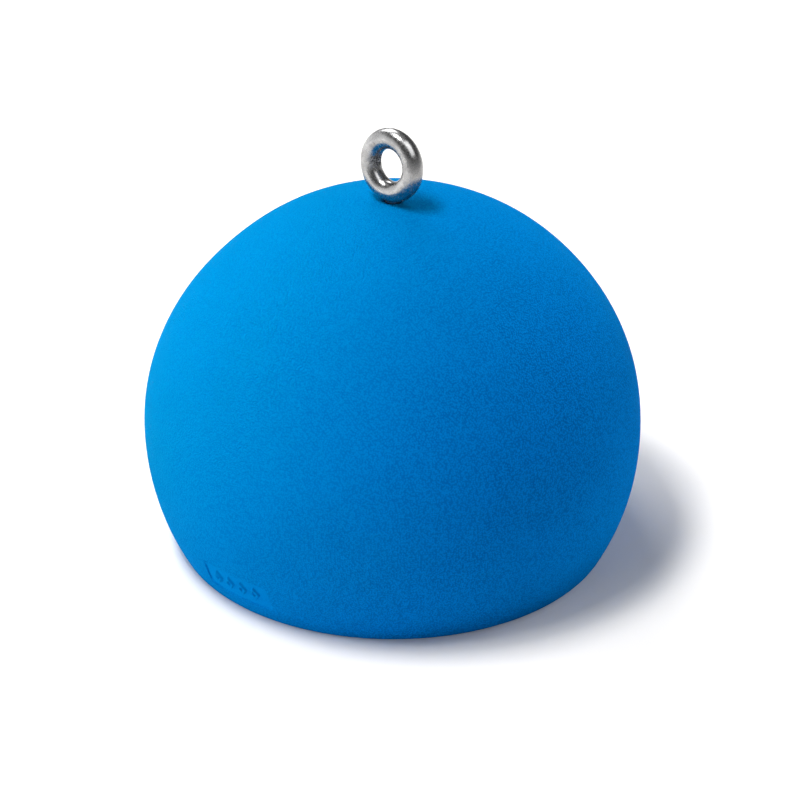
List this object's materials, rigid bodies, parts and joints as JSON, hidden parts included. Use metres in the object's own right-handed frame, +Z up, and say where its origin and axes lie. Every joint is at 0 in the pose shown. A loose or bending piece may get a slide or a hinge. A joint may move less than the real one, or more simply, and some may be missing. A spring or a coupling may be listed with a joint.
{
  "type": "hanging training ball",
  "caption": "Flat-based moulded training ball with a grained blue skin over foam, hung from a steel ring eye that swivels in its crown.",
  "frame": {"origin": "centre of the flat base, on the surface the ball stands on", "axes": "+Z up along the ball's axis through the eye bolt; -Y is the side with the badge; the hole of the ring eye runs along Y"},
  "size_m": [0.3, 0.3, 0.2599],
  "materials": {
    "skin": "matte",
    "foam": "matte",
    "rubber": "matte",
    "nylon": "satin",
    "plywood": "matte",
    "polished_steel": "polished",
    "zinc_steel": "satin",
    "bronze": "satin",
    "brass": "satin"
  },
  "bodies": {
    "ball": {"moulded_skin": "skin", "crown_seal": "rubber", "foam_core": "foam", "top_plate": "zinc_steel", "spine_tube": "zinc_steel", "top_bush": "nylon", "bottom_bush": "nylon", "load_cup": "zinc_steel", "thrust_washer": "bronze", "base_board": "plywood", "base_cover": "rubber", "cup_screw_1": "zinc_steel", "cup_screw_2": "zinc_steel", "cup_screw_3": "zinc_steel", "cup_screw_4": "zinc_steel", "cover_insert_1": "brass", "cover_insert_2": "brass", "cover_insert_3": "brass", "cover_insert_4": "brass", "cover_insert_5": "brass", "cover_insert_6": "brass", "cover_screw_1": "zinc_steel", "cover_screw_2": "zinc_steel", "cover_screw_3": "zinc_steel", "cover_screw_4": "zinc_steel", "cover_screw_5": "zinc_steel", "cover_screw_6": "zinc_steel"},
    "eye": {"eye_bolt": "polished_steel", "nut_washer": "zinc_steel", "lock_nut": "zinc_steel", "nyloc_ring": "nylon"}
  },
  "joints": [
    {"name": "eye_swivel", "type": "hinge", "parent": "ball", "child": "eye", "pos_m": [0, 0, 0.2], "axis": [0, 0, 1], "continuous": true}
  ]
}
